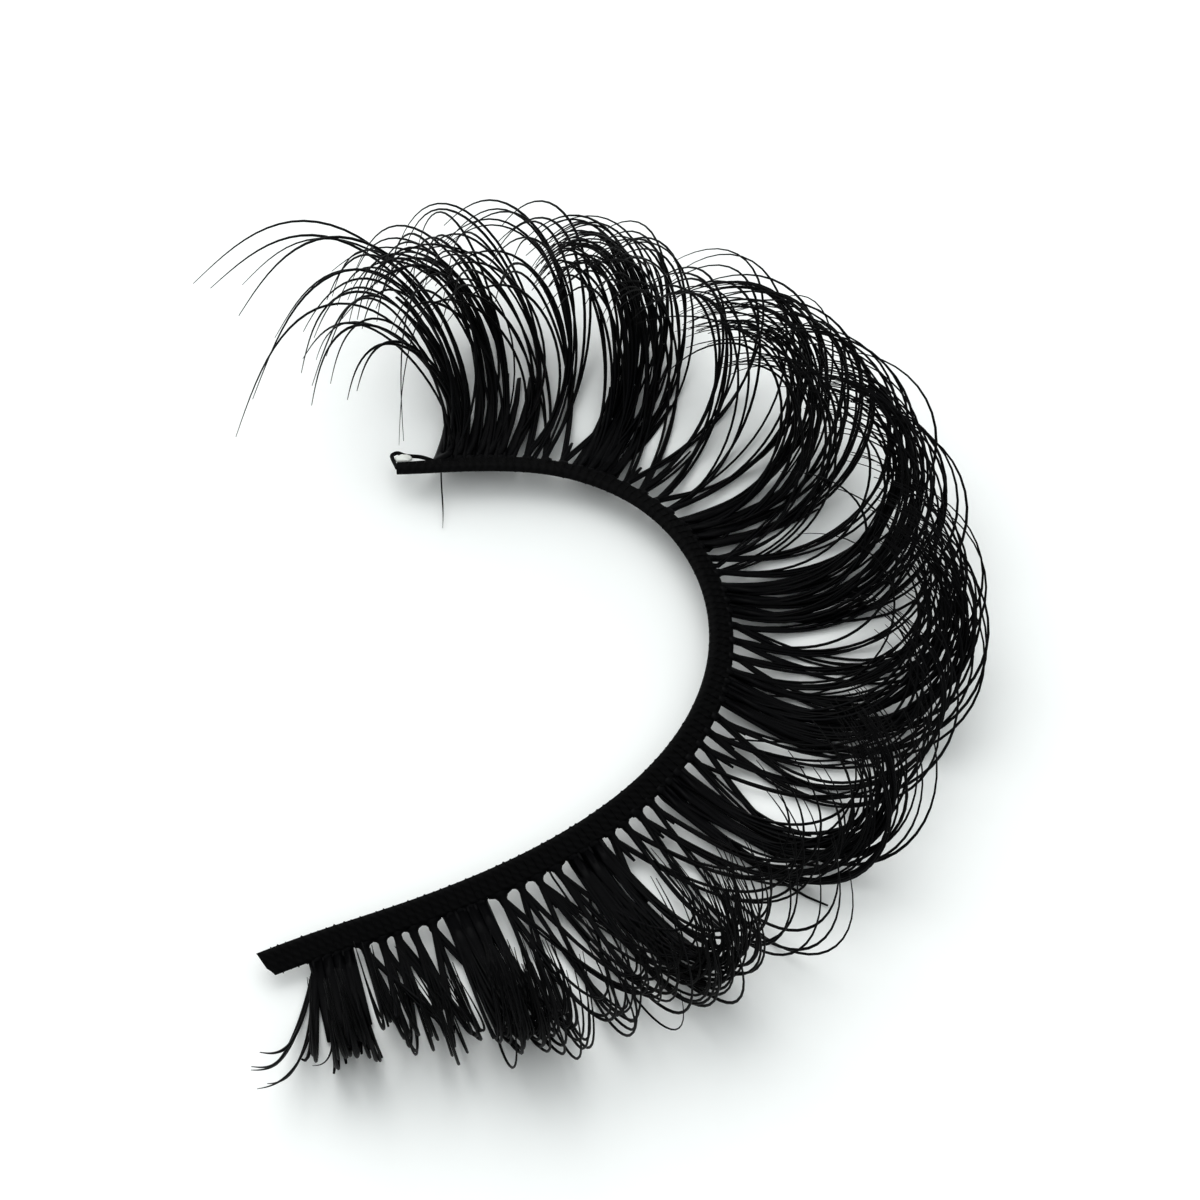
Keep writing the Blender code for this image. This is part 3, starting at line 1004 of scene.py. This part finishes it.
def fleck_finish():
    """The whitish crumb in the thread's loop: faintly mottled."""
    finish = Finish("whitish_crumb", Specular_IOR_Level=0.4)
    lumps = finish.noise(scale=9000.0)
    color = finish.blend(lumps, FLECK_DARK, FLECK_LIGHT)
    roughness = 0.35 + lumps * 0.25
    return finish.paint(color, roughness, finish.bump(lumps, distance=0.020 * MM, strength=0.6))


def table_finish():
    """A plain white table top."""
    finish = Finish("white_table", Specular_IOR_Level=0.2)
    mottle = finish.noise(scale=60.0)
    color = finish.blend(mottle, TABLE_DARK, TABLE_LIGHT)
    roughness = 0.75 + mottle * 0.1
    return finish.paint(color, roughness)


def make_window():
    """A large soft light from behind, aimed at the middle of the table."""
    data = bpy.data.lights.new("window", "AREA")
    data.shape = "DISK"
    data.size = WINDOW_SIZE
    data.energy = WINDOW_POWER
    data.color = WINDOW_COLOR
    light = bpy.data.objects.new("window", data)
    light.location = WINDOW_PLACE
    light.rotation_euler = (-Vector(WINDOW_PLACE)).to_track_quat("-Z", "Y").to_euler()
    bpy.context.scene.collection.objects.link(light)


def make_studio():
    """A white table, an even white surround and the window."""
    select_none()
    bpy.ops.mesh.primitive_plane_add(size=TABLE_SIZE, location=(0.0, 0.0, 0.0))
    table = bpy.context.object
    table.name = "table"
    table.data.materials.append(table_finish())
    world = bpy.data.worlds.new("studio")
    world.use_nodes = True
    background = world.node_tree.nodes["Background"]
    background.inputs["Color"].default_value = SURROUND_COLOR
    background.inputs["Strength"].default_value = SURROUND_STRENGTH
    bpy.context.scene.world = world
    make_window()
    bpy.context.scene.view_settings.view_transform = "Standard"
    bpy.context.scene.view_settings.gamma = STUDIO_GAMMA


def make_camera(course):
    """At the photograph's angle and distance, aimed at a place that is fixed to the band."""
    target = Vector((course.origin[0], course.origin[1], 0.0)) + Vector((*VIEW_TARGET, 0.0)) * MM
    back = Vector((0.0, -math.cos(VIEW_ELEVATION), math.sin(VIEW_ELEVATION)))
    data = bpy.data.cameras.new("camera")
    data.sensor_width = SENSOR_WIDTH
    data.lens = LENS
    data.clip_start = NEAREST_SEEN
    camera = bpy.data.objects.new("camera", data)
    camera.location = target + VIEW_DISTANCE * back
    camera.rotation_euler = (math.pi / 2 - VIEW_ELEVATION, 0.0, 0.0)
    bpy.context.scene.collection.objects.link(camera)
    bpy.context.scene.camera = camera


course = Course()
make_camera(course)
make_studio()
make_band(course, thread_finish(), fleck_finish())
make_lashes(course, [fibre_finish(), root_finish()])
